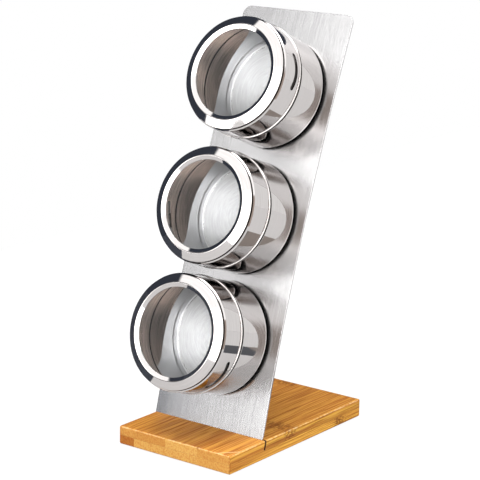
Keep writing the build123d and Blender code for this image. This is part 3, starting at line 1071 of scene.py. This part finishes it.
class SPICE_OT_tin_bodies(bpy.types.Operator):
    """Make the three tin bodies, polished outside and brushed inside"""

    bl_idname = "spice_stand.tin_bodies"
    bl_label = "Tin bodies"

    def execute(self, context):
        t = context.scene.spice_tins
        s = tin_sizes(t)
        finishes = self.make_finishes(t)
        order = list(finishes)
        slotted = with_pour_slot(turned_mesh("tin_body", tin_outline(t, s), t.turns), t, s)
        for face in slotted.polygons:
            face.material_index = order.index(self.finish_of(face, t, s))
        for place in tin_places:
            node = place + "_tin_body"
            mesh = slotted.copy()
            self.raise_reflection_edge(mesh, t, s, port_turns[place])
            axes = tin_axes(place, t, port_turns[place])
            piece = turned_piece(node + "_steel", mesh, axes, finishes.values())
            stands_for(piece, node, body_of_node(node))
        return {"FINISHED"}

    def make_finishes(self, t):
        """The tin's finishes by where they are."""
        return {
            "outside": turned_steel(
                "polished_tin", t.steel, lines=4.0, depth=0.012, roughness=(0.035, 0.09)
            ),
            "wall": turned_steel(
                "brushed_tin_wall", t.wall_steel, lines=2.0, depth=0.14, roughness=(0.12, 0.14), contrast=0.3
            ),
            "floor": turned_steel(
                "spun_tin_floor", t.floor_steel, lines=1.5, depth=0.08, roughness=(0.4, 0.42), dish=0.0155,
                contrast=0.12,
            ),
            # Painted shade on the neck under the lid, on the foot by the plate and under the inner neck step.
            "neck": turned_steel(
                "neck_foot_painted_shade", t.painted_shade_steel, lines=4.0, depth=0.05, roughness=(0.14, 0.2)
            ),
            "ring": turned_steel(
                "pressed_foot_ring", t.ring_steel, lines=5.0, depth=0.1, roughness=(0.3, 0.32), dish=0.0165
            ),
            # Painted reflection of the floor ring: dark steel whose normals lean far up to catch the front light.
            "lower wall": turned_steel(
                "lower_wall_painted_reflection", t.lower_reflection_and_shade_steel, lines=2.0, depth=0.1, roughness=(0.3, 0.32), dish=-0.06
            ),
            # Painted highlight on the raised floor's rounded edge.
            "floor edge": turned_steel(
                "floor_edge_painted_highlight", t.floor_edge_highlight_steel, lines=5.0, depth=0.05, roughness=(0.25, 0.3), dish=0.033
            ),
            # Painted shade in the inner corner between wall and foot ring.
            "corner": turned_steel(
                "inner_corner_painted_shade", t.lower_reflection_and_shade_steel, lines=5.0, depth=0.05, roughness=(0.3, 0.32)
            ),
            # Painted shade on the outer foot ring next to the wall.
            "outer ring": turned_steel(
                "outer_foot_ring_painted_shade", t.lower_reflection_and_shade_steel, lines=5.0, depth=0.05, roughness=(0.3, 0.32), dish=0.0165
            ),
        }

    def raise_reflection_edge(self, mesh, t, s, turn):
        """Let the upper edge of the painted reflection on the inner wall's lower part rise to both sides of its
        lowest point.
        """
        hair, least_near, steepness = 0.01 * mm, 0.1, 1.5
        highest = s.body_top - t.step_shade - t.fold_round
        for vertex in mesh.vertices:
            x, y, z = vertex.co
            if abs(z - t.reflection_height) < hair and abs(hypot(x, y) - s.body_inner) < hair:
                near = max(cos(atan2(y, x) + turn - t.reflection_turn), least_near)
                vertex.co.z = min(highest, t.reflection_height * near ** -steepness)

    def finish_of(self, face, t, s):
        """Where a face is, by a point just off it."""
        off_face, slack, level, upright, foot_shade_reach = 0.2 * mm, 0.05 * mm, 0.99, 0.5, 0.35 * t.corner_radius
        probe = face.center + face.normal * off_face
        height = face.center.z
        radius = hypot(probe.x, probe.y)
        floor_edge = s.pocket + t.sheet
        over_floor = probe.z > s.floor_height - slack
        over_foot = radius > s.pocket + t.sheet / 2 and probe.z > s.foot_height + t.sheet - slack
        inside = over_floor or over_foot
        if inside and radius < s.body_inner - slack and face.normal.z < level:
            inwards = face.normal.x * probe.x + face.normal.y * probe.y < 0
            # Painted shade on the strip under the inner neck step.
            if inwards and s.body_top - t.step_shade < height < s.neck_bottom + t.fold_round:
                return "neck" if height < s.neck_bottom - 2 * slack else "outside"
            if inwards or probe.z < s.neck_bottom:
                if face.normal.z < upright:
                    # Below its raised edge the wall gets the painted reflection.
                    return "lower wall" if height < t.reflection_height else "wall"
                # Painted shade in the inner corner; painted highlight on the raised floor's rounded edge.
                return "corner" if inwards else "floor edge"
        if inside and radius < s.body_inner and probe.z < s.body_top:
            if radius < floor_edge:
                return "floor"
            # The outer foot ring next to the wall gets painted shade.
            return "ring" if radius < floor_edge + t.bright_width else "outer ring"
        # Painted shade on the neck under the lid, seen through the pour slot, and on the foot's rounding next to
        # the plate.
        under_lid = probe.z > s.body_top + t.neck_step / 2
        return "neck" if under_lid or probe.z < s.foot_height + foot_shade_reach else "outside"


class SPICE_OT_lid_shells(bpy.types.Operator):
    """Make the three polished lid shells with their pour slots"""

    bl_idname = "spice_stand.lid_shells"
    bl_label = "Lid shells"

    def execute(self, context):
        t = context.scene.spice_tins
        s = tin_sizes(t)
        steel = turned_steel(
            "polished_lid", t.steel, lines=4.0, depth=0.008, roughness=(0.025, 0.07), seed=40.0
        )
        # Painted shade on the groove's faces under the ring's edge.
        crevice = turned_steel("lid_groove_painted_shade", t.painted_shade_steel, lines=4.0, depth=0.05, roughness=(0.3, 0.4))
        slotted = with_pour_slot(turned_mesh("lid_shell", lid_outline(t, s), t.turns), t, s)
        for face in slotted.polygons:
            centre = face.center
            in_groove = s.groove - mm < hypot(centre.x, centre.y) < s.shoulder
            in_groove = in_groove and s.shoulder_height < centre.z < s.bezel_height
            face.material_index = int(in_groove and centre.xy.dot(face.normal.xy) > 0)
        for place in tin_places:
            node = place + "_lid_shell"
            axes = tin_axes(place, t, lid_turns[place])
            piece = turned_piece(node + "_steel", slotted.copy(), axes, [steel, crevice])
            stands_for(piece, node, body_of_node(node))
        return {"FINISHED"}


class SPICE_OT_lid_windows(bpy.types.Operator):
    """Make the three clear windows"""

    bl_idname = "spice_stand.lid_windows"
    bl_label = "Lid windows"

    def execute(self, context):
        t = context.scene.spice_tins
        clear = clear_window()
        for place in tin_places:
            node = place + "_lid_window"
            mesh = turned_mesh(node + "_clear", window_outline(t, tin_sizes(t)), t.turns)
            axes = tin_axes(place, t, lid_turns[place])
            piece = turned_piece(node + "_clear", mesh, axes, [clear])
            stands_for(piece, node, body_of_node(node))
        return {"FINISHED"}


class SPICE_OT_hidden_pieces(bpy.types.Operator):
    """Finish the gaskets and magnets, which keep their own shape"""

    bl_idname = "spice_stand.hidden_pieces"
    bl_label = "Gaskets and magnets"

    def execute(self, context):
        t = context.scene.spice_tins
        finishes = {"lid_gasket": gasket_silicone(t), "magnet": magnet_ferrite(t)}
        for place in tin_places:
            for kind, finish in finishes.items():
                node = frame["nodes"][f"{place}_{kind}"]
                node.data.materials.clear()
                node.data.materials.append(finish)
        return {"FINISHED"}


class SPICE_OT_stage(bpy.types.Operator):
    """Set up the floor, the light and the camera"""

    bl_idname = "spice_stand.stage"
    bl_label = "Stage"

    def execute(self, context):
        stage = context.scene.spice_stage
        self.make_floor(stage)
        self.make_flag(stage)
        self.make_cards(stage)
        self.make_light(context.scene, stage)
        self.make_camera(context.scene, stage)
        return {"FINISHED"}

    def make_floor(self, stage):
        """A plain sheet under the stand."""
        reach, left, under_base = stage.floor_reach, stage.floor_left, 0.05 * mm
        corners = [(-left, -reach, 0), (reach, -reach, 0), (reach, reach, 0), (-left, reach, 0)]
        paper = pale_floor(stage.floor_grey, stage.floor_veil)
        floor = new_piece("floor", flat_mesh("floor", corners), [paper])
        floor.location.z = -under_base

    def make_flag(self, stage):
        """A low black flag that stands on the left and is seen only in the steel."""
        front, rear = -stage.flag_front, stage.flag_rear
        low, tall = stage.flag_height, stage.flag_tall
        outline = [(front - stage.flag_slant, 0), (rear, 0), (rear, tall), (0, tall), (0, low), (front, low)]
        mesh = flat_mesh("flag", [(0, y, z) for y, z in outline])
        flag = new_piece("flag", mesh, [matt_stage_sheet("matt_flag", stage.dark_side)])
        flag.location.x = -stage.flag_left
        self.only_in_steel(flag)

    def make_cards(self, stage):
        """Two cards that paint the stand's shadow on the floor behind its right side, seen only in the steel."""
        far, split, over_floor, to_rear_right = stage.card_far, -stage.card_split, 0.1 * mm, radians(45)
        # Each card is painted shadow of the stand on the floor.
        for name, rgb, near, right, left in (
            ("deep_shadow_card", stage.deep_shadow_card, stage.dark_near, -stage.card_right, split),
            ("pale_shadow_card", stage.pale_shadow_card, stage.brown_near, split, stage.card_left),
        ):
            corners = [(near, right, 0), (far, right, 0), (far, left, 0), (near, left, 0)]
            card = new_piece(name, flat_mesh(name, corners), [matt_stage_sheet(name + "_cloth", rgb)])
            card.rotation_euler.z = to_rear_right
            card.location.z = over_floor
            self.only_in_steel(card)

    def only_in_steel(self, piece):
        """Make a piece of the stage that shows in reflections alone."""
        piece.visible_camera = piece.visible_diffuse = False
        piece.visible_shadow = piece.visible_transmission = False

    def make_light(self, scene, stage):
        """A white room with soft front and top lights, an unlit left side and a dim camera side."""
        world = bpy.data.worlds.new("studio")
        scene.world = world
        world.use_nodes = True
        world.node_tree.nodes.clear()
        graph = Graph(world.node_tree)
        x, y, z = graph.split(graph.node("ShaderNodeTexCoord").outputs["Generated"])
        leftwards = graph.math("ARCTAN2", graph.times(x, -1.0), graph.times(y, -1.0))
        rise = graph.math("ARCSINE", z)
        crisp = radians(2)

        def beyond(value, edge):
            return graph.ramp(graph.math("SUBTRACT", value, edge), -crisp, crisp)

        def grey(level):
            return (level, level, level, 1.0)

        room, camera_side = grey(stage.room_light), opaque(stage.camera_side)
        light = graph.mix(beyond(leftwards, -stage.camera_right), room, camera_side)
        light = graph.mix(beyond(leftwards, -stage.front_right), light, grey(stage.front_light))
        from_fade = graph.math("SUBTRACT", leftwards, graph.times(rise, stage.fade_slant))
        from_fade = graph.math("SUBTRACT", from_fade, stage.fade_middle)
        faded = graph.ramp(from_fade, -stage.fade_width, stage.fade_width)
        faded = graph.times(faded, beyond(rise, stage.fade_bottom))
        light = graph.mix(faded, light, grey(stage.faded_light))
        light = graph.mix(beyond(rise, stage.front_top), light, grey(stage.upper_light))
        light = graph.mix(beyond(rise, stage.top_from), light, grey(stage.top_light))
        dark_edge = graph.math("ADD", graph.times(rise, stage.dark_slant), stage.dark_from)
        dark = graph.times(beyond(leftwards, dark_edge), beyond(stage.dark_top, rise))
        light = graph.mix(dark, light, opaque(stage.dark_side))
        lit = graph.node("ShaderNodeBackground", {"Color": light})
        white = graph.node("ShaderNodeBackground", {"Color": (1.0, 1.0, 1.0, 1.0)})
        seen = graph.node("ShaderNodeLightPath").outputs["Is Camera Ray"]
        both = graph.node("ShaderNodeMixShader")
        for socket, value in zip(both.inputs, (seen, lit.outputs[0], white.outputs[0])):
            graph.feed(socket, value)
        graph.node("ShaderNodeOutputWorld", {"Surface": both.outputs[0]})
        scene.view_settings.view_transform = "Standard"
        scene.view_settings.look = "None"

    def make_camera(self, scene, stage):
        """A camera that looks at the stand from the front right and a little above."""
        turn, rise, roll = stage.azimuth, stage.elevation, stage.roll
        back = Vector((sin(turn) * cos(rise), -cos(turn) * cos(rise), sin(rise)))
        level_right = Vector((cos(turn), sin(turn), 0))
        level_up = back.cross(level_right)
        right = level_right * cos(roll) + level_up * sin(roll)
        up = level_up * cos(roll) - level_right * sin(roll)
        data = bpy.data.cameras.new("camera")
        data.sensor_width = 36.0
        data.lens = stage.lens
        camera = bpy.data.objects.new("camera", data)
        scene.collection.objects.link(camera)
        axes = Matrix((right, up, back)).transposed().to_4x4()
        camera.matrix_world = Matrix.Translation(Vector(stage.aim) + back * stage.distance) @ axes
        scene.camera = camera


class SPICE_PT_panel(bpy.types.Panel):
    """Lists the steps that build the stand"""

    bl_idname = "SPICE_PT_panel"
    bl_label = "Spice stand"
    bl_space_type = "VIEW_3D"
    bl_region_type = "UI"
    bl_category = "Spice stand"

    def draw(self, context):
        for operator in operators:
            self.layout.operator(operator.bl_idname)
        for pointer, group in settings_groups.items():
            box = self.layout.box()
            box.label(text=group.__doc__)
            for name in group.__annotations__:
                box.prop(getattr(context.scene, pointer), name)


operators = (
    SPICE_OT_base_strips,
    SPICE_OT_back_plate,
    SPICE_OT_tin_bodies,
    SPICE_OT_lid_shells,
    SPICE_OT_lid_windows,
    SPICE_OT_hidden_pieces,
    SPICE_OT_stage,
)
settings_groups = {
    "spice_base": BaseSettings,
    "spice_plate": PlateSettings,
    "spice_tins": TinSettings,
    "spice_stage": StageSettings,
}


def register():
    """Register the classes and give the scene its settings."""
    for group in settings_groups.values():
        bpy.utils.register_class(group)
    for pointer, group in settings_groups.items():
        setattr(bpy.types.Scene, pointer, PointerProperty(type=group))
    for item in (*operators, SPICE_PT_panel):
        bpy.utils.register_class(item)


def unregister():
    """Take the classes and the settings away again."""
    for item in reversed((*operators, SPICE_PT_panel)):
        bpy.utils.unregister_class(item)
    for pointer, group in settings_groups.items():
        delattr(bpy.types.Scene, pointer)
        bpy.utils.unregister_class(group)


def main():
    """Build every piece in order."""
    register()
    bpy.ops.spice_stand.base_strips()
    bpy.ops.spice_stand.back_plate()
    bpy.ops.spice_stand.tin_bodies()
    bpy.ops.spice_stand.lid_shells()
    bpy.ops.spice_stand.lid_windows()
    bpy.ops.spice_stand.hidden_pieces()
    bpy.ops.spice_stand.stage()


if __name__ == "__main__":
    main()
